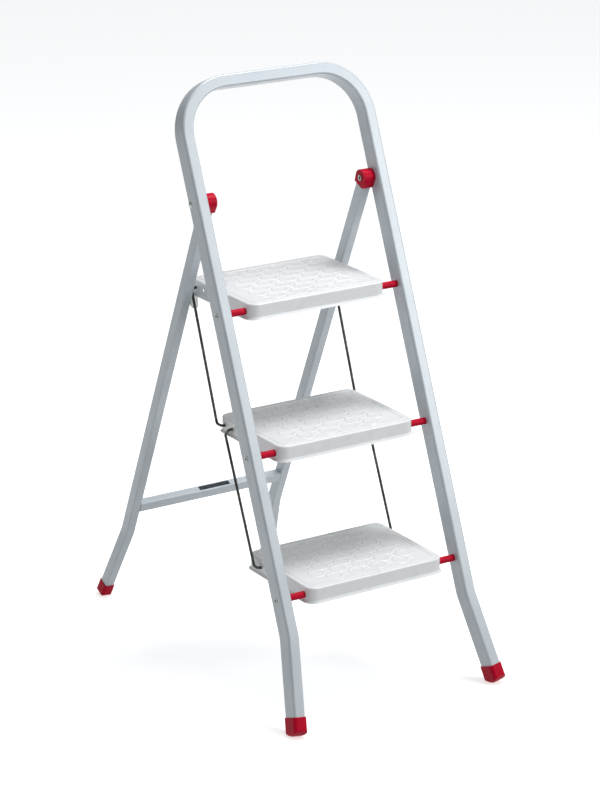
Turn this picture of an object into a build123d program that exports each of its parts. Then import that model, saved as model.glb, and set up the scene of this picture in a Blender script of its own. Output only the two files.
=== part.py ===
from build123d import *
import os
from math import cos, radians, sin, tan

# Folding household ladder with three tread trays, sizes in millimetres.
# +Z is up, the treads face -Y, +X is to the right of a person who climbs it.
# The open ladder stands on z = 0 with its footprint centred on the origin.

# ---- overall sizes -------------------------------------------------------
step_rise = 230.0            # tread to tread
bottom_step_height = 232.4   # floor to the first tread
hoop_reach = 389.9           # platform to the top of the hoop, along the stiles
frame_half_width = 196.7     # centre to the outer face of a stile
front_lean = 22.4            # stiles, degrees from vertical
rear_lean = 23.7             # rear legs, degrees from vertical

# ---- front frame: one bent rectangular tube ------------------------------
stile_width = 22.0
stile_depth = 34.0
stile_corner = 4.0
tube_wall = 1.5
hoop_bend = 90.0             # centre line radius of the two hoop corners
front_kink_height = 156.0    # where the stiles start to splay
front_splay = 8.6            # degrees
kink_bend = 80.0             # centre line radius of every kink

# ---- rear frame ----------------------------------------------------------
leg_width = 18.5
leg_depth = 22.0
leg_corner = 3.0
leg_stile_gap = 2.2          # room for the cap wall between leg and stile
rear_kink_height = 146.0
rear_splay = 8.0
crossbar_height = 20.0       # along the legs
crossbar_depth = 16.0
crossbar_corner = 2.0
crossbar_centre = 205.0      # height above the floor, on the middle of the legs
label_length = 66.0
label_width = 10.0
label_shift = 8.0            # off the middle, to the right
label_film = 0.2

# ---- pivots and axles ----------------------------------------------------
pivot_setback = 9.5          # behind the middle of the stile
pivot_rivet = 8.0
pivot_bore = 5.0
rivet_head = 11.0
rivet_dome = 2.5
clinch_ring = 10.4
clinch_height = 1.4
axle = 8.0
axle_bore = 4.6
axle_rim = 10.5
axle_rim_height = 0.9
spacer = 12.5
spacer_gap = 34.7            # stile to tread tray
running_clearance = 0.08     # radial, a hinge on its pin
side_clearance = 0.3         # between pieces that slide past each other

# ---- red plastic caps ----------------------------------------------------
cap_wall = 2.3
cap_radius = 15.0
cap_neck = 26.0              # front to back at the open end
cap_skirt = 15.0             # below the pivot, along the leg
leg_above_pivot = 8.0
foot_wall = 2.0
foot_corner = 7.0
front_foot_radius = 24.0
front_foot_height = 31.0     # floor to the rim, on the middle of the leg
rear_foot_radius = 17.0
rear_foot_height = 26.0
foot_press = 1.0             # flat worn on the round sole
tube_in_foot = 8.0           # below the centre of the sole's round

# ---- tread trays ---------------------------------------------------------
tray_length = 208.0          # front to back
tray_height = 28.0
tray_corner = 18.0
tray_sheet = 1.5
tray_edge = 3.0
lip_out = 4.0
lip_rise = 4.5
axle_drop = 15.5             # tread surface to axle
axle_setback = 20.5          # front skirt to axle

# ---- link rods and their holes -------------------------------------------
rod = 5.0
rod_bend = 4.5
rod_head = 7.0
rod_head_height = 1.2
rod_clearance = 0.25         # radial, in the punched holes
rod_lip_gap = 0.3
hole_drop = 14.0             # tread surface to the punched holes
rear_hole_inset = 22.0       # from the rear skirt
hole_spacing = 25.0
upper_crank_top = 2.5
upper_crank_bottom = 16.0
lower_crank = 12.5
upper_fall = 8.0             # a crank at the top end reaches its offset below the hole
lower_fall = 12.0

# ---- platform hook brackets and the studs they hang on --------------------
bracket_sheet = 1.6
bracket_rod_gap = 0.5
web_relief = 0.4             # the web stands off the rounded corner of the skirt
web_step = 4.5               # the web's inner face, in from the inside of the skirt
web_below = 25.0
web_chamfer = 4.0
tab_length = 14.0
tab_drop = 4.0
hook_finger = 5.0
hook_finger_length = 6.0
hook_seat = 0.15
stud = 7.0
stud_shank = 5.0
stud_behind_web = 5.8
stud_below_lip = 15.2
stud_setback = 1.5           # behind the middle of the leg
stud_clinch = 1.5

# ---- values that follow --------------------------------------------------
SIDES = {"left": -1, "right": 1}
STEPS = {"bottom": 1, "middle": 2, "top": 3}
lean = radians(front_lean)
leg_lean = radians(rear_lean)
stile_centre = frame_half_width - stile_width / 2
stile_inner = frame_half_width - stile_width
leg_outer = stile_inner - leg_stile_gap
leg_centre = leg_outer - leg_width / 2
leg_inner = leg_outer - leg_width
cap_inner = leg_inner - cap_wall
cap_outer = stile_inner - side_clearance
tray_half = stile_inner - spacer_gap
tray_width = 2 * tray_half
skirt_inner = tray_half - tray_sheet
web_inner = skirt_inner - web_step
rod_plane = tray_half + lip_out + rod_lip_gap + rod / 2
bracket_inner = rod_plane + rod / 2 + bracket_rod_gap
bracket_outer = bracket_inner + bracket_sheet
stud_tip = bracket_inner - side_clearance / 2
rear_hole = tray_length - rear_hole_inset
front_hole = rear_hole - hole_spacing
web_front = tray_length - tray_corner


def tread_height(level):
    return bottom_step_height + (level - 1) * step_rise


def step_axle(level):
    """Side-view place (y, z) of a tray's axle, on the middle of the stiles."""
    z = tread_height(level) - axle_drop
    return z * tan(lean), z


# The studs carry the platform's rear corners, so the legs pass through them, and the
# pivot is where that line comes pivot_setback behind the middle of the stiles.
platform_height = tread_height(STEPS["top"])
frame_length = platform_height / cos(lean) + hoop_reach
stud_y = web_front - axle_setback + stud_behind_web
stud_z = axle_drop - tray_height - stud_below_lip
leg_y = step_axle(STEPS["top"])[0] + stud_y - stud_setback * cos(leg_lean)
leg_z = step_axle(STEPS["top"])[1] + stud_z - stud_setback * sin(leg_lean)
pivot_height = ((leg_y - pivot_setback / cos(lean) + leg_z * tan(leg_lean))
                / (tan(lean) + tan(leg_lean)))
pivot_y = pivot_height * tan(lean) + pivot_setback / cos(lean)
stud_from_pivot = (pivot_height - leg_z) / cos(leg_lean)


# stile plane: x across, y up along the stiles, z out of the front face
stile_plane = Plane(origin=(0, 0, 0), x_dir=(1, 0, 0), z_dir=(0, -cos(lean), sin(lean)))
# leg plane: the same for the rear legs, with its origin on the pivot
leg_plane = Plane(origin=(0, pivot_y, pivot_height), x_dir=(1, 0, 0),
                  z_dir=(0, -cos(leg_lean), -sin(leg_lean)))


def x_cylinder(diameter, x_from, x_to, y=0.0, z=0.0):
    """Cylinder along X between two x values, given in either order."""
    middle = (x_from + x_to) / 2
    turned = Rotation(0, 90, 0) * Cylinder(diameter / 2, abs(x_to - x_from))
    return Pos(middle, y, z) * turned


def box_between(x_range, y_range, z_range):
    """Box from three pairs of limits, each in either order."""
    pairs = (x_range, y_range, z_range)
    sizes = [abs(b - a) for a, b in pairs]
    return Pos(*[(a + b) / 2 for a, b in pairs]) * Box(*sizes)


def tube_along(points, bends, width, depth, corner):
    """Hollow rounded tube whose runs and bends lie in one plane, width in that plane."""
    path = FilletPolyline(*points, radius=bends)
    start = Plane(origin=path @ 0, x_dir=(0, 0, 1), z_dir=path % 0)
    outside = start * RectangleRounded(depth, width, corner)
    inside = start * RectangleRounded(depth - 2 * tube_wall, width - 2 * tube_wall,
                                      corner - tube_wall)
    return sweep(outside, path=path) - sweep(inside, path=path)


# ---- leg ends ------------------------------------------------------------
def splay_run(height, lean_angle, splay, sole_radius):
    """Length from a kink down to the centre of the foot's round sole."""
    rise = (height - (sole_radius - foot_press)) / cos(lean_angle)
    return rise / cos(radians(splay))


front_kink = front_kink_height / cos(lean)
front_run = splay_run(front_kink_height, lean, front_splay, front_foot_radius)
rear_kink = (pivot_height - rear_kink_height) / cos(leg_lean)
rear_run = splay_run(rear_kink_height, leg_lean, rear_splay, rear_foot_radius)


def sole_place(side, centre, kink, run, splay):
    """Centre of the sole's round, in the plane of its frame."""
    angle = radians(splay)
    return side * (centre + run * sin(angle)), kink - run * cos(angle)


def tube_end(side, centre, kink, run, splay):
    return sole_place(side, centre, kink, run + tube_in_foot, splay)


def foot(side, plane, place, splay, width, depth, corner, radius, height, lean_angle):
    """Closed cap over a leg end: round sole, rounded lower corners, flat tread."""
    above = (height - radius + foot_press) / cos(lean_angle)
    outer_width = width + 2 * foot_wall
    outer_depth = depth + 2 * foot_wall
    across = Plane.XZ.offset(-above)
    body = extrude(across * RectangleRounded(outer_width, outer_depth, corner + foot_wall),
                   radius + above)
    side_view = Pos(above / 2, 0) * Rectangle(above, 4 * radius) + Circle(radius)
    body &= extrude(Plane.YZ * side_view, outer_width, both=True)
    front_view = RectangleRounded(outer_width, 2 * radius, foot_corner)
    front_view += Pos(0, radius) * Rectangle(outer_width, 2 * radius)
    body &= extrude(front_view, outer_depth, both=True)
    pocket = extrude(across * RectangleRounded(width, depth, corner), above + tube_in_foot)
    local = Location((place[0], place[1], 0), (0, 0, side * splay))
    placed = plane.location * local * (body - pocket)
    floor = Pos(0, 0, -2 * radius) * Box(4 * frame_half_width, 4 * pivot_height, 4 * radius)
    return placed - floor


# ---- front frame ---------------------------------------------------------
def front_frame():
    hoop = frame_length - stile_width / 2
    left_end = tube_end(-1, stile_centre, front_kink, front_run, front_splay)
    right_end = tube_end(1, stile_centre, front_kink, front_run, front_splay)
    points = [left_end, (-stile_centre, front_kink), (-stile_centre, hoop),
              (stile_centre, hoop), (stile_centre, front_kink), right_end]
    bends = [kink_bend, hoop_bend, hoop_bend, kink_bend]
    tube = tube_along(points, bends, stile_width, stile_depth, stile_corner)
    tube = stile_plane.location * tube
    for level in STEPS.values():
        y, z = step_axle(level)
        tube -= x_cylinder(axle, -frame_half_width - 1, frame_half_width + 1, y, z)
    return tube - x_cylinder(pivot_rivet, -frame_half_width - 1, frame_half_width + 1,
                             pivot_y, pivot_height)


def front_foot(side):
    place = sole_place(side, stile_centre, front_kink, front_run, front_splay)
    return foot(side, stile_plane, place, front_splay, stile_width, stile_depth,
                stile_corner, front_foot_radius, front_foot_height, lean)


def axle_tube(level):
    """Tubular axle whose rims are rolled over the outer faces of the stiles."""
    y, z = step_axle(level)
    end = frame_half_width + axle_rim_height
    body = x_cylinder(axle, -end, end, y, z)
    for side in SIDES.values():
        body += x_cylinder(axle_rim, side * frame_half_width, side * end, y, z)
    return body - x_cylinder(axle_bore, -end - 1, end + 1, y, z)


def spacer_tube(level, side):
    y, z = step_axle(level)
    inner = tray_half + side_clearance
    body = x_cylinder(spacer, side * inner, side * stile_inner, y, z)
    return body - x_cylinder(axle, side * (inner - 1), side * (stile_inner + 1), y, z)


def pivot_rivet_body(side):
    """Tubular rivet: domed head outside the stile, clinched ring inside the cap."""
    tip = cap_inner - side_clearance - clinch_height
    neck = tip + clinch_height
    crown = frame_half_width + rivet_dome
    outline = Polyline((crown, 0), (stile_inner, 0), (stile_inner, pivot_bore / 2),
                       (tip, pivot_bore / 2), (tip, clinch_ring / 2), (neck, clinch_ring / 2),
                       (neck, pivot_rivet / 2), (frame_half_width, pivot_rivet / 2),
                       (frame_half_width, rivet_head / 2))
    outline += TangentArc((crown, 0), (frame_half_width, rivet_head / 2), tangent=(0, 1))
    body = Pos(0, pivot_y, pivot_height) * revolve(make_face(outline.edges()), Axis.X)
    return body if side > 0 else mirror(body, Plane.YZ)


# ---- rear frame ----------------------------------------------------------
def rear_leg(side):
    end = tube_end(side, leg_centre, -rear_kink, rear_run, rear_splay)
    points = [(side * leg_centre, leg_above_pivot), (side * leg_centre, -rear_kink), end]
    tube = tube_along(points, [kink_bend], leg_width, leg_depth, leg_corner)
    bore = pivot_rivet + 2 * running_clearance
    tube -= x_cylinder(bore, side * (cap_inner - 1), side * stile_inner)
    tube -= x_cylinder(stud_shank, side * (leg_inner - 1), side * leg_centre,
                       -stud_from_pivot, -stud_setback)
    return leg_plane.location * tube


def pivot_cap(side):
    """Cap over a leg's top: round above the pivot, square below it."""
    bottom = Line((-cap_skirt, -cap_neck / 2), (-cap_skirt, cap_neck / 2))
    profile = make_hull(Circle(cap_radius).edges() + bottom.edges())
    middle = Pos(side * (cap_inner + cap_outer) / 2, 0, 0)
    body = middle * extrude(Plane.YZ * profile, (cap_outer - cap_inner) / 2, both=True)
    section = Plane.XZ.offset(-leg_above_pivot) * RectangleRounded(leg_width, leg_depth,
                                                                   leg_corner)
    pocket = extrude(section, leg_above_pivot + cap_skirt + 1)
    body -= Pos(side * leg_centre, 0, 0) * pocket
    bore = pivot_rivet + 2 * running_clearance
    body -= x_cylinder(bore, side * (cap_inner - 1), side * stile_inner)
    return leg_plane.location * body


def rear_foot(side):
    place = sole_place(side, leg_centre, -rear_kink, rear_run, rear_splay)
    return foot(side, leg_plane, place, rear_splay, leg_width, leg_depth,
                leg_corner, rear_foot_radius, rear_foot_height, leg_lean)


crossbar_down = (pivot_height - crossbar_centre) / cos(leg_lean)
crossbar_front = leg_depth / 2 - crossbar_depth / 2


def crossbar():
    outside = RectangleRounded(crossbar_height, crossbar_depth, crossbar_corner)
    hollow = RectangleRounded(crossbar_height - 2 * tube_wall, crossbar_depth - 2 * tube_wall,
                              crossbar_corner - tube_wall)
    bar = extrude(Plane.YZ * (outside - hollow), leg_inner, both=True)
    return leg_plane.location * Pos(0, -crossbar_down, crossbar_front) * bar


def crossbar_label():
    film = Box(label_length, label_film, label_width)
    top = -crossbar_down + crossbar_height / 2 + label_film / 2
    return leg_plane.location * Pos(label_shift, top, crossbar_front) * film


def catch_stud(side):
    """Headed stud clinched in the inner wall of a rear leg."""
    body = x_cylinder(stud, side * stud_tip, side * leg_inner)
    wall_end = leg_inner + tube_wall
    body += x_cylinder(stud_shank, side * leg_inner, side * wall_end)
    body += x_cylinder(stud, side * wall_end, side * (wall_end + stud_clinch))
    return leg_plane.location * Pos(0, -stud_from_pivot, -stud_setback) * body


# ---- tread trays ---------------------------------------------------------
def pressing(inset):
    """Outside of a tray, or its hollow when inset by the sheet."""
    plan = RectangleRounded(tray_width - 2 * inset, tray_length - 2 * inset,
                            tray_corner - inset)
    grow = lip_out - inset
    mouth = RectangleRounded(tray_width + 2 * grow, tray_length + 2 * grow,
                             tray_corner + grow)
    body = extrude(Pos(0, 0, -inset) * plan, inset - tray_height)
    body = fillet(body.edges().group_by(Axis.Z)[-1], tray_edge - inset)
    return body + loft([Pos(0, 0, lip_rise - tray_height) * plan, Pos(0, 0, -tray_height) * mouth])


def tray():
    """Pressed tray, open below, with its axle line on the origin."""
    shell = pressing(0) - pressing(tray_sheet)
    shell = Pos(0, tray_length / 2 - axle_setback, axle_drop) * shell
    bore = axle + 2 * running_clearance
    shell -= x_cylinder(bore, -tray_half - 1, tray_half + 1)
    for place in (rear_hole, front_hole):
        shell -= x_cylinder(rod + 2 * rod_clearance, -tray_half - 1, tray_half + 1,
                            place - axle_setback, axle_drop - hole_drop)
    return shell


def on_step(level, shape):
    y, z = step_axle(level)
    return Pos(0, y, z) * shape


# ---- platform hook brackets ----------------------------------------------
def hook_bracket(side):
    """Bent bracket in the platform's rear corner that hangs on a leg's stud."""
    web_y = (web_front - axle_setback, web_front - axle_setback + bracket_sheet)
    lip_bottom = axle_drop - tray_height
    roof = stud_z + stud / 2 + hook_seat
    sheet_inner = skirt_inner - bracket_sheet
    tab = box_between((sheet_inner, skirt_inner), (web_y[0] - tab_length, web_y[0]),
                      (lip_bottom + lip_rise, axle_drop - tab_drop))
    tab -= x_cylinder(rod + 2 * rod_clearance, sheet_inner - 1, skirt_inner + 1,
                      rear_hole - axle_setback, axle_drop - hole_drop)
    low = lip_bottom - web_below
    stud_side = stud_tip - side_clearance
    outline = Polyline((web_inner, low), (stud_side - web_chamfer, low),
                       (stud_side, low + 1.5 * web_chamfer), (stud_side, roof),
                       (bracket_outer, roof), (bracket_outer, lip_bottom),
                       (web_inner, lip_bottom), close=True)
    web = extrude(Plane.XZ * make_face(outline), -bracket_sheet)
    web = Pos(0, web_y[0], 0) * web
    web += box_between((web_inner, skirt_inner - web_relief), web_y,
                       (lip_bottom, axle_drop - tab_drop))
    finger = stud_y + stud / 2 + hook_seat
    hook = box_between((bracket_inner, bracket_outer), (web_y[0], finger + hook_finger),
                       (roof, lip_bottom))
    hook += box_between((bracket_inner, bracket_outer), (finger, finger + hook_finger),
                        (stud_z - hook_finger_length, roof))
    body = tab + web + hook
    return body if side > 0 else mirror(body, Plane.YZ)


# ---- link rods -----------------------------------------------------------
def link_rod(side, top, bottom, crank_top, fall_top, crank_bottom, grip):
    """Cranked rod between two holes; its ends turn in through the skirts."""
    inner_top = skirt_inner - grip - side_clearance
    inner_bottom = skirt_inner - side_clearance
    across = side * rod_plane
    points = [(side * inner_top, *top), (across, *top),
              (across, top[0] + crank_top, top[1] - fall_top),
              (across, bottom[0] + crank_bottom, bottom[1]),
              (across, *bottom), (side * inner_bottom, *bottom)]
    path = FilletPolyline(*points, radius=rod_bend)
    body = sweep(Plane(origin=path @ 0, z_dir=path % 0) * Circle(rod / 2), path=path)
    for inner, place in ((inner_top, top), (inner_bottom, bottom)):
        body += x_cylinder(rod_head, side * inner, side * (inner - rod_head_height), *place)
    return body


def hole_place(level, distance):
    y, z = step_axle(level)
    return y + distance - axle_setback, z + axle_drop - hole_drop


def build_nodes():
    nodes = {"front_frame_tube": front_frame()}
    for name, side in SIDES.items():
        nodes[f"front_foot_{name}"] = front_foot(side)
        nodes[f"pivot_rivet_{name}"] = pivot_rivet_body(side)
        nodes[f"rear_leg_{name}"] = rear_leg(side)
        nodes[f"pivot_cap_{name}"] = pivot_cap(side)
        nodes[f"rear_foot_{name}"] = rear_foot(side)
        nodes[f"catch_stud_{name}"] = catch_stud(side)
        nodes[f"hook_bracket_{name}"] = on_step(STEPS["top"], hook_bracket(side))
        nodes[f"upper_link_{name}"] = link_rod(
            side, hole_place(STEPS["top"], rear_hole), hole_place(STEPS["middle"], rear_hole),
            upper_crank_top, upper_fall, upper_crank_bottom, bracket_sheet)
        nodes[f"lower_link_{name}"] = link_rod(
            side, hole_place(STEPS["middle"], front_hole), hole_place(STEPS["bottom"], front_hole),
            lower_crank, lower_fall, lower_crank, 0.0)
    nodes["rear_crossbar"] = crossbar()
    nodes["crossbar_label"] = crossbar_label()
    for name, level in STEPS.items():
        nodes[f"{name}_step_axle"] = axle_tube(level)
        nodes[f"{name}_step_tray"] = on_step(level, tray())
        for side_name, side in SIDES.items():
            nodes[f"{name}_spacer_{side_name}"] = spacer_tube(level, side)
    return nodes


def footprint_middle(nodes):
    """Middle of the open ladder from front to back."""
    boxes = [shape.bounding_box() for shape in nodes.values()]
    return (min(b.min.Y for b in boxes) + max(b.max.Y for b in boxes)) / 2


nodes = build_nodes()
footprint_y = footprint_middle(nodes)
os.makedirs("parts", exist_ok=True)
for node_name, shape in nodes.items():
    export_step(Pos(0, -footprint_y, 0) * shape, f"parts/{node_name}.step")
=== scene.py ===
"""Looks of a folding step ladder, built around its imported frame. Metres, +Z up, treads face -Y."""
import math

import bpy
from bpy.props import FloatProperty, FloatVectorProperty, PointerProperty
from mathutils import Matrix, Vector


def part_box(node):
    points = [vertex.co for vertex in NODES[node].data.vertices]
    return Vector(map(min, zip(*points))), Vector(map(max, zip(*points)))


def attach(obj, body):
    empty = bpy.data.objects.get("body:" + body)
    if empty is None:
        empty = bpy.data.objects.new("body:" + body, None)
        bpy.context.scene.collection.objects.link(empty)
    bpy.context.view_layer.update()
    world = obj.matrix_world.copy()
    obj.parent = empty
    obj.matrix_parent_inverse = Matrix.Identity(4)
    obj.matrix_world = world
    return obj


bl_info = {
    "name": "Folding Step Ladder",
    "version": (1, 0, 0),
    "blender": (4, 5, 0),
    "location": "View3D > Sidebar > Ladder",
    "description": "Finishes, pressed treads and studio for a folding step ladder",
    "category": "Object",
}

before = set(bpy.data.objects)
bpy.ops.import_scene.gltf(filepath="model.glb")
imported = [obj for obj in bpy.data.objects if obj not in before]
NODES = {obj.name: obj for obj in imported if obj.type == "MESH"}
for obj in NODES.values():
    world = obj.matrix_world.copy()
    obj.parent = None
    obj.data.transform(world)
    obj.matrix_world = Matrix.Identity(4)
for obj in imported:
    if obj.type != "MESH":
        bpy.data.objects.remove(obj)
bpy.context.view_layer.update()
STEPS = ("top", "middle", "bottom")
SIDES = ("left", "right")
MM = 0.001
LIP_OUT = 4 * MM            # how far a tray's lip stands out past its skirt
OVAL = (12 * MM, 7 * MM)    # across and along the tread
PAPER_GLOW = 0.6            # keeps the paper pale far from the lights
SENSOR = 36                 # millimetres, as the focal length
FOCAL_LENGTH = 125.2


# ---- small helpers ---------------------------------------------------------
def linear(hex_colour):
    """sRGB hex such as "c8ccd0" as linear RGBA."""
    channels = [int(hex_colour[i:i + 2], 16) / 255 for i in (0, 2, 4)]
    return [c / 12.92 if c <= 0.04045 else ((c + 0.055) / 1.055) ** 2.4 for c in channels] + [1.0]


def shade(name, hex_colour):
    """Colour setting with an sRGB default."""
    return FloatVectorProperty(name=name, description=f"{name} (linear colour)", size=3,
                               subtype="COLOR", min=0, max=1, default=linear(hex_colour)[:3])


def opaque(colour):
    return (*colour, 1.0)


def deselect():
    if bpy.context.mode != "OBJECT":
        bpy.ops.object.mode_set(mode="OBJECT")
    bpy.ops.object.select_all(action="DESELECT")


def open_mesh(piece):
    """Edit mode on one piece, with all of it selected."""
    deselect()
    piece.select_set(True)
    bpy.context.view_layer.objects.active = piece
    bpy.ops.object.mode_set(mode="EDIT")
    bpy.ops.mesh.select_all(action="SELECT")


def close_mesh(piece, name):
    """Leaves edit mode and puts the piece's place into its mesh."""
    bpy.ops.object.mode_set(mode="OBJECT")
    piece.name = name
    piece.data.name = name
    bpy.ops.object.transform_apply(location=True, rotation=True, scale=True)
    return piece


def pick_edges(piece, wanted):
    """Selects the edges whose two ends pass the test, in edit mode."""
    bpy.ops.mesh.select_mode(type="EDGE")
    bpy.ops.mesh.select_all(action="DESELECT")
    bpy.ops.object.mode_set(mode="OBJECT")
    points = piece.data.vertices
    for edge in piece.data.edges:
        edge.select = all(wanted(points[i].co) for i in edge.vertices)
    bpy.ops.object.mode_set(mode="EDIT")


def smooth(piece, degrees=35):
    deselect()
    piece.select_set(True)
    bpy.context.view_layer.objects.active = piece
    bpy.ops.object.shade_smooth_by_angle(angle=math.radians(degrees))


def stamp(master, places, name):
    """Copies of one small shape at many places, joined into one piece."""
    copies = []
    for place in places:
        copy = master.copy()
        copy.data = master.data.copy()
        copy.data.transform(Matrix.Translation(place))
        bpy.context.collection.objects.link(copy)
        copies.append(copy)
    bpy.data.objects.remove(master)
    return join(copies, name)


def join(pieces, name):
    deselect()
    for piece in pieces:
        piece.select_set(True)
    bpy.context.view_layer.objects.active = pieces[0]
    bpy.ops.object.join()
    pieces[0].name = name
    pieces[0].data.name = name
    return pieces[0]


def dress(piece, material):
    piece.data.materials.clear()
    piece.data.materials.append(material)


def dress_nodes(names, material):
    for name in names:
        dress(NODES[name], material)


# ---- finishes --------------------------------------------------------------
def add_node(tree, kind, settings=None, links=None):
    """One shader node: settings by attribute or input name, links from (node, output)."""
    node = tree.nodes.new(kind)
    for key, value in (settings or {}).items():
        if key in node.inputs:
            node.inputs[key].default_value = value
        else:
            setattr(node, key, value)
    for key, (source, output) in (links or {}).items():
        tree.links.new(source.outputs[output], node.inputs[key])
    return node


def new_finish(name, shader):
    """A material with its Principled shader set, and the piece's own coordinates."""
    material = bpy.data.materials.new(name)
    material.use_nodes = True
    tree = material.node_tree
    principled = tree.nodes["Principled BSDF"]
    for key, value in shader.items():
        principled.inputs[key].default_value = value
    place = add_node(tree, "ShaderNodeTexCoord")
    return material, tree, principled, place


def grain(tree, place, size, detail=3.0):
    """Noise whose cells are about the given size in metres."""
    return add_node(tree, "ShaderNodeTexNoise", {"Scale": 1 / size, "Detail": detail},
                    {"Vector": (place, "Object")})


def tint(tree, principled, noise, shades, span=(0.35, 0.65)):
    """Colour that drifts between two shades with a noise."""
    ramp = add_node(tree, "ShaderNodeValToRGB", links={"Fac": (noise, "Fac")})
    for stop, place, shade in zip(ramp.color_ramp.elements, span, shades):
        stop.position = place
        stop.color = opaque(shade)
    tree.links.new(ramp.outputs["Color"], principled.inputs["Base Color"])
    return ramp


def vary_roughness(tree, principled, noise, low, high):
    spread = add_node(tree, "ShaderNodeMapRange", {"From Min": 0.3, "From Max": 0.7,
                                                  "To Min": low, "To Max": high},
                      {"Value": (noise, "Fac")})
    tree.links.new(spread.outputs["Result"], principled.inputs["Roughness"])


def relief(tree, principled, noise, strength, depth, output="Fac"):
    bump = add_node(tree, "ShaderNodeBump", {"Strength": strength, "Distance": depth},
                    {"Height": (noise, output)})
    tree.links.new(bump.outputs["Normal"], principled.inputs["Normal"])
    return bump


def powder_coat(shades):
    """Silver-grey polyester powder: baked film with a fine orange peel and a soft sheen."""
    material, tree, principled, place = new_finish("silver_powder_coat", {
        "Metallic": 0.1, "IOR": 1.5, "Coat Weight": 0.15, "Coat Roughness": 0.22})
    cloud = grain(tree, place, 0.09)
    tint(tree, principled, cloud, shades)
    peel = grain(tree, place, 1.6 * MM, 2.0)
    vary_roughness(tree, principled, peel, 0.30, 0.42)
    relief(tree, principled, peel, 0.12, 0.15 * MM)
    return material


def enamel(shades):
    """White stoving enamel on pressed sheet: hard gloss over slow waves in the sheet."""
    material, tree, principled, place = new_finish("white_enamel", {
        "IOR": 1.52, "Coat Weight": 0.4, "Coat Roughness": 0.1})
    scuff = grain(tree, place, 60 * MM, 2.0)
    tint(tree, principled, scuff, shades, (0.3, 0.7))
    peel = grain(tree, place, 4 * MM, 1.0)
    vary_roughness(tree, principled, scuff, 0.24, 0.32)
    relief(tree, principled, peel, 0.02, 0.2 * MM)
    return material


def moulded_plastic(shades):
    """Red moulded polyethylene: waxy, with a fine matt texture from the mould."""
    material, tree, principled, place = new_finish("red_plastic", {
        "IOR": 1.5, "Specular IOR Level": 0.1,
        "Subsurface Weight": 0.05, "Subsurface Radius": (0.004, 0.001, 0.001)})
    cloud = grain(tree, place, 14 * MM)
    tint(tree, principled, cloud, shades)
    pores = grain(tree, place, 0.8 * MM, 2.0)
    vary_roughness(tree, principled, cloud, 0.34, 0.46)
    relief(tree, principled, pores, 0.18, 0.08 * MM)
    return material


def zinc_plate(shades):
    """Bright zinc on steel: faint crystals and small changes of gloss."""
    material, tree, principled, place = new_finish("zinc_plate", {"Metallic": 1.0})
    crystals = add_node(tree, "ShaderNodeTexVoronoi", {"Scale": 1 / (3 * MM)},
                        {"Vector": (place, "Object")})
    ramp = add_node(tree, "ShaderNodeValToRGB", links={"Fac": (crystals, "Color")})
    for stop, shade in zip(ramp.color_ramp.elements, shades):
        stop.color = opaque(shade)
    tree.links.new(ramp.outputs["Color"], principled.inputs["Base Color"])
    film = grain(tree, place, 5 * MM)
    vary_roughness(tree, principled, film, 0.28, 0.45)
    relief(tree, principled, crystals, 0.05, 0.05 * MM, "Distance")
    return material


def drawn_wire(shades):
    """Dark coated wire: dull grey-green, with drawing marks and thin grey wear."""
    material, tree, principled, place = new_finish("dark_wire", {"Metallic": 0.4})
    wear = grain(tree, place, 9 * MM, 5.0)
    tint(tree, principled, wear, shades, (0.45, 0.75))
    vary_roughness(tree, principled, wear, 0.28, 0.5)
    marks = grain(tree, place, 0.9 * MM, 2.0)
    relief(tree, principled, marks, 0.2, 0.1 * MM)
    return material


def film(shades):
    """Plain printed polyester film with no marking."""
    material, tree, principled, place = new_finish("label_film", {"IOR": 1.5, "Coat Weight": 0.3})
    cloud = grain(tree, place, 8 * MM)
    tint(tree, principled, cloud, shades)
    vary_roughness(tree, principled, cloud, 0.25, 0.35)
    relief(tree, principled, cloud, 0.05, 0.05 * MM)
    return material


def studio_paper(shade):
    """Pale matt paper roll."""
    material, tree, principled, place = new_finish("studio_paper", {"Specular IOR Level": 0.1})
    fibre = grain(tree, place, 0.4)
    tint(tree, principled, fibre, (shade, shade))
    vary_roughness(tree, principled, fibre, 0.85, 0.95)
    principled.inputs["Emission Color"].default_value = opaque(shade)
    principled.inputs["Emission Strength"].default_value = PAPER_GLOW
    return material


# ---- settings --------------------------------------------------------------
class TreadPattern(bpy.types.PropertyGroup):
    """Sizes of the relief pressed into each tread."""
    ring_radius: FloatProperty(
        name="Ring radius", description="Middle of a raised ring", default=0.0135, unit="LENGTH")
    ring_band: FloatProperty(
        name="Ring band", description="Half the width of a raised ring", default=0.0026,
        unit="LENGTH")
    pitch_across: FloatProperty(
        name="Pitch across", description="Ring to ring in a row", default=0.046, unit="LENGTH")
    pitch_back: FloatProperty(
        name="Pitch back", description="Row to row", default=0.024, unit="LENGTH")
    height: FloatProperty(
        name="Relief", description="Height of the relief above the tread", default=0.0007,
        unit="LENGTH")
    margin: FloatProperty(
        name="Margin", description="Tread's edge to the nearest ring", default=0.020,
        unit="LENGTH")
    border: FloatProperty(
        name="Border", description="Tread's edge to the raised border line", default=0.0095,
        unit="LENGTH")
    border_corner: FloatProperty(
        name="Border corner", description="Corner radius of the border line", default=0.011,
        unit="LENGTH")


class Shades(bpy.types.PropertyGroup):
    """How strongly the studio lights the ladder."""
    key: FloatProperty(name="Key light", description="Power of the front softbox", default=56.0)
    top: FloatProperty(name="Top light", description="Power of the softbox overhead",
                       default=66.0)
    fill: FloatProperty(name="Fill light", description="Power of the softbox on the left",
                        default=3.0)
    world: FloatProperty(name="World", description="Strength of the white surroundings",
                         default=0.34)


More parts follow.
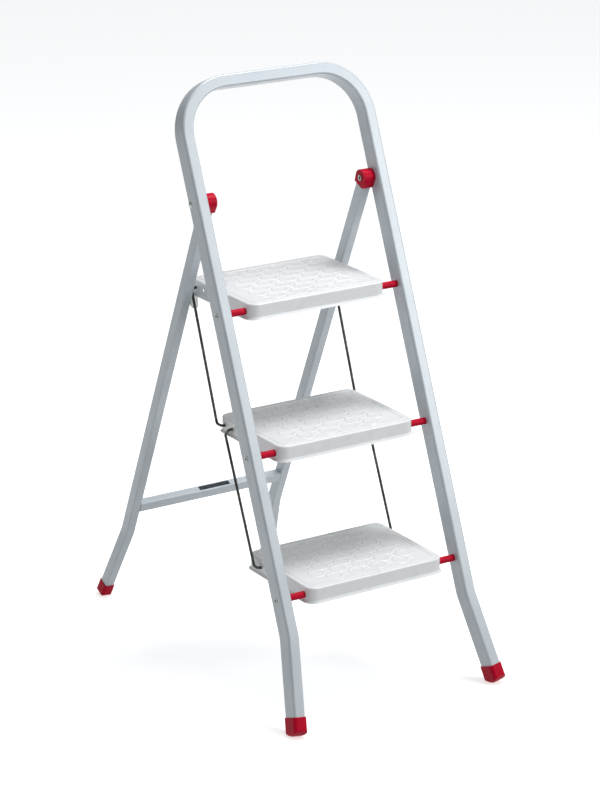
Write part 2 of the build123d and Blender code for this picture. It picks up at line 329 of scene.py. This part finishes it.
class Finishes(bpy.types.PropertyGroup):
    """The darker and lighter shade of each finish."""
    tubes_low: shade("Powder coat, darker", "c1cad1")
    tubes_high: shade("Powder coat, lighter", "c7d0d6")
    treads_low: shade("Enamel, darker", "f0f3f5")
    treads_high: shade("Enamel, lighter", "f4f6f8")
    plastic_low: shade("Red plastic, darker", "bc0028")
    plastic_high: shade("Red plastic, lighter", "c8002e")
    zinc_low: shade("Zinc, darker", "8d938e")
    zinc_high: shade("Zinc, lighter", "b4b8b2")
    wire_low: shade("Rods, darker", "343a36")
    wire_high: shade("Rods, lighter", "6a716b")
    label_low: shade("Label, darker", "1c2430")
    label_high: shade("Label, lighter", "232c3a")
    paper: shade("Paper", "f8f9fa")


# ---- treads ----------------------------------------------------------------
def tray_box(step):
    """Lowest and highest corner of a tray's box, with its flared lip."""
    low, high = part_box(f"{step}_step_tray")
    return Vector(low), Vector(high)


def ring_master(pattern):
    """One raised ring, sunk to half its depth in the tread."""
    bpy.ops.mesh.primitive_torus_add(major_segments=28, minor_segments=8,
                                     major_radius=pattern.ring_radius,
                                     minor_radius=pattern.ring_band)
    ring = bpy.context.active_object
    open_mesh(ring)
    bpy.ops.transform.resize(value=(1, 1, pattern.height / pattern.ring_band))
    return close_mesh(ring, "ring_master")


def oval_master(pattern, long_way, short_way):
    """One raised oval with a flat crown, sunk to half its depth in the tread."""
    bpy.ops.mesh.primitive_uv_sphere_add(segments=16, ring_count=8, radius=1)
    oval = bpy.context.active_object
    open_mesh(oval)
    bpy.ops.transform.resize(value=(long_way / 2, short_way / 2, pattern.height))
    return close_mesh(oval, "oval_master")


def lattice(pattern, half_width, half_depth):
    """Ring places in staggered rows, and the places between two rings of a row."""
    rings, gaps = [], []
    rows = int(half_depth / pattern.pitch_back)
    for row in range(-rows, rows + 1):
        stagger = (row % 2) * pattern.pitch_across / 2
        count = int(half_width / pattern.pitch_across) + 1
        for column in range(-count, count + 1):
            x = column * pattern.pitch_across + stagger
            if abs(x) <= half_width:
                rings.append((x, row * pattern.pitch_back))
            if abs(x + pattern.pitch_across / 2) <= half_width:
                gaps.append((x + pattern.pitch_across / 2, row * pattern.pitch_back))
    return rings, gaps


def border_line(pattern, half_width, half_depth):
    """Raised line round the tread, with rounded corners and a rounded crown."""
    bpy.ops.mesh.primitive_plane_add(size=2)
    line = bpy.context.active_object
    open_mesh(line)
    bpy.ops.transform.resize(value=(half_width, half_depth, 1))
    bpy.ops.mesh.bevel(offset=pattern.border_corner, segments=8, affect="VERTICES")
    bpy.ops.mesh.select_all(action="SELECT")
    bpy.ops.mesh.select_mode(type="FACE")
    bpy.ops.mesh.inset(thickness=2 * pattern.ring_band)
    bpy.ops.mesh.delete(type="FACE")
    bpy.ops.mesh.select_all(action="SELECT")
    bpy.ops.mesh.extrude_region_move(
        TRANSFORM_OT_translate={"value": (0, 0, 2 * pattern.height)})
    pick_edges(line, lambda co: co.z > pattern.height)
    bpy.ops.mesh.bevel(offset=0.7 * pattern.height, segments=3, affect="EDGES")
    bpy.ops.mesh.select_all(action="SELECT")
    bpy.ops.transform.translate(value=(0, 0, -1.2 * pattern.height))
    bpy.ops.mesh.normals_make_consistent(inside=False)
    return close_mesh(line, "border_line")


class LADDER_OT_press_treads(bpy.types.Operator):
    """Presses the rings, ovals and border line into the three treads"""
    bl_idname = "ladder.press_treads"
    bl_label = "Press treads"

    def execute(self, context):
        pattern = context.scene.ladder_pattern
        finish = context.scene.ladder_finishes
        coat = enamel((finish.treads_low, finish.treads_high))
        for step in STEPS:
            low, high = tray_box(step)
            centre = (low + high) / 2
            centre.z = high.z
            half_width = (high.x - low.x) / 2
            half_depth = (high.y - low.y) / 2
            rings, gaps = lattice(pattern, half_width - pattern.margin - pattern.ring_radius,
                                  half_depth - pattern.margin - pattern.ring_radius)
            shapes = [
                stamp(ring_master(pattern), [(x, y, 0) for x, y in rings], "rings"),
                stamp(oval_master(pattern, *OVAL), [(x, y, 0) for x, y in gaps],
                      "ovals"),
                border_line(pattern, half_width - LIP_OUT - pattern.border,
                            half_depth - LIP_OUT - pattern.border),
            ]
            piece = join(shapes, f"{step}_tread_relief")
            piece.data.transform(Matrix.Translation(centre))
            smooth(piece, 60)
            dress(piece, coat)
            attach(piece, f"{step}_step")
            dress(NODES[f"{step}_step_tray"], coat)
        return {"FINISHED"}


# ---- frame finishes ----------------------------------------------------------
class LADDER_OT_coat_tubes(bpy.types.Operator):
    """Powder coats the front tube, the rear legs and the crossbar"""
    bl_idname = "ladder.coat_tubes"
    bl_label = "Coat tubes"

    def execute(self, context):
        finish = context.scene.ladder_finishes
        coat = powder_coat((finish.tubes_low, finish.tubes_high))
        dress_nodes(["front_frame_tube", "rear_crossbar"], coat)
        dress_nodes([f"rear_leg_{side}" for side in SIDES], coat)
        return {"FINISHED"}


class LADDER_OT_fit_plastic(bpy.types.Operator):
    """Gives the caps, feet and spacers their red plastic"""
    bl_idname = "ladder.fit_plastic"
    bl_label = "Fit plastic"

    def execute(self, context):
        finish = context.scene.ladder_finishes
        red = moulded_plastic((finish.plastic_low, finish.plastic_high))
        for side in SIDES:
            dress_nodes([f"front_foot_{side}", f"rear_foot_{side}", f"pivot_cap_{side}"], red)
            dress_nodes([f"{step}_spacer_{side}" for step in STEPS], red)
        return {"FINISHED"}


class LADDER_OT_plate_steel(bpy.types.Operator):
    """Plates the axles, rivets, studs and hook brackets, and blackens the link rods"""
    bl_idname = "ladder.plate_steel"
    bl_label = "Plate steel"

    def execute(self, context):
        finish = context.scene.ladder_finishes
        zinc = zinc_plate((finish.zinc_low, finish.zinc_high))
        dark = drawn_wire((finish.wire_low, finish.wire_high))
        dress_nodes([f"{step}_step_axle" for step in STEPS], zinc)
        for side in SIDES:
            dress_nodes([f"pivot_rivet_{side}", f"catch_stud_{side}", f"hook_bracket_{side}"],
                        zinc)
            dress_nodes([f"upper_link_{side}", f"lower_link_{side}"], dark)
        return {"FINISHED"}


class LADDER_OT_blank_label(bpy.types.Operator):
    """Finishes the crossbar's label as a plain film with no marking"""
    bl_idname = "ladder.blank_label"
    bl_label = "Blank label"

    def execute(self, context):
        finish = context.scene.ladder_finishes
        dress_nodes(["crossbar_label"], film((finish.label_low, finish.label_high)))
        return {"FINISHED"}


# ---- studio ------------------------------------------------------------------
def softbox(name, place, aim, size, power):
    """Square area light that faces a point."""
    lamp = bpy.data.lights.new(name, "AREA")
    lamp.size = size
    lamp.energy = power
    light = bpy.data.objects.new(name, lamp)
    light.location = place
    light.rotation_euler = (Vector(aim) - Vector(place)).to_track_quat("-Z", "Y").to_euler()
    bpy.context.collection.objects.link(light)


class LADDER_OT_build_studio(bpy.types.Operator):
    """Lays the pale floor and sets the soft lights and the camera"""
    bl_idname = "ladder.build_studio"
    bl_label = "Build studio"

    def execute(self, context):
        shades = context.scene.ladder_shades
        deselect()
        bpy.ops.mesh.primitive_grid_add(x_subdivisions=8, y_subdivisions=8, size=40)
        floor = context.active_object
        floor.name = "studio_floor"
        floor.data.transform(Matrix.Translation((0, 0, -0.0005)))
        dress(floor, studio_paper(context.scene.ladder_finishes.paper))
        # the paper throws no light up, so the undersides and left sides stay in shade
        floor.visible_diffuse = False
        middle = (0, 0, 0.55)
        softbox("key_softbox", (2.6, -3.4, 2.2), middle, 1.6, shades.key)
        softbox("top_softbox", (0.9, -0.3, 3.4), middle, 1.2, shades.top)
        softbox("fill_softbox", (-3.4, -0.6, 1.6), middle, 1.8, shades.fill)
        world = bpy.data.worlds.new("studio_surroundings")
        world.use_nodes = True
        background = world.node_tree.nodes["Background"]
        background.inputs["Color"].default_value = (1, 1, 1, 1)
        background.inputs["Strength"].default_value = shades.world
        context.scene.world = world
        context.scene.view_settings.view_transform = "Standard"
        camera_data = bpy.data.cameras.new("studio_camera")
        camera_data.sensor_width = SENSOR
        camera_data.lens = FOCAL_LENGTH
        camera_data.shift_x = -0.0006
        camera_data.shift_y = 0.093
        camera = bpy.data.objects.new("studio_camera", camera_data)
        camera.location = (-2.5156, -4.0065, 2.0763)
        camera.rotation_euler = (math.radians(69.66), 0, math.radians(-32.42))
        context.collection.objects.link(camera)
        context.scene.camera = camera
        return {"FINISHED"}


class LADDER_PT_panel(bpy.types.Panel):
    """Lists the ladder's operators"""
    bl_label = "Folding Step Ladder"
    bl_space_type = "VIEW_3D"
    bl_region_type = "UI"
    bl_category = "Ladder"

    def draw(self, context):
        for operator in OPERATORS:
            self.layout.operator(operator.bl_idname)
        for settings in (context.scene.ladder_pattern, context.scene.ladder_shades,
                         context.scene.ladder_finishes):
            box = self.layout.box()
            for key in settings.__annotations__:
                box.prop(settings, key)


OPERATORS = (LADDER_OT_coat_tubes, LADDER_OT_fit_plastic, LADDER_OT_plate_steel,
             LADDER_OT_blank_label, LADDER_OT_press_treads, LADDER_OT_build_studio)
CLASSES = (TreadPattern, Shades, Finishes) + OPERATORS + (LADDER_PT_panel,)


def register():
    for cls in CLASSES:
        bpy.utils.register_class(cls)
    bpy.types.Scene.ladder_pattern = PointerProperty(type=TreadPattern)
    bpy.types.Scene.ladder_shades = PointerProperty(type=Shades)
    bpy.types.Scene.ladder_finishes = PointerProperty(type=Finishes)


def unregister():
    del bpy.types.Scene.ladder_finishes
    del bpy.types.Scene.ladder_shades
    del bpy.types.Scene.ladder_pattern
    for cls in reversed(CLASSES):
        bpy.utils.unregister_class(cls)


def main():
    register()
    bpy.ops.ladder.coat_tubes()
    bpy.ops.ladder.fit_plastic()
    bpy.ops.ladder.plate_steel()
    bpy.ops.ladder.blank_label()
    bpy.ops.ladder.press_treads()
    bpy.ops.ladder.build_studio()


if __name__ == "__main__":
    main()
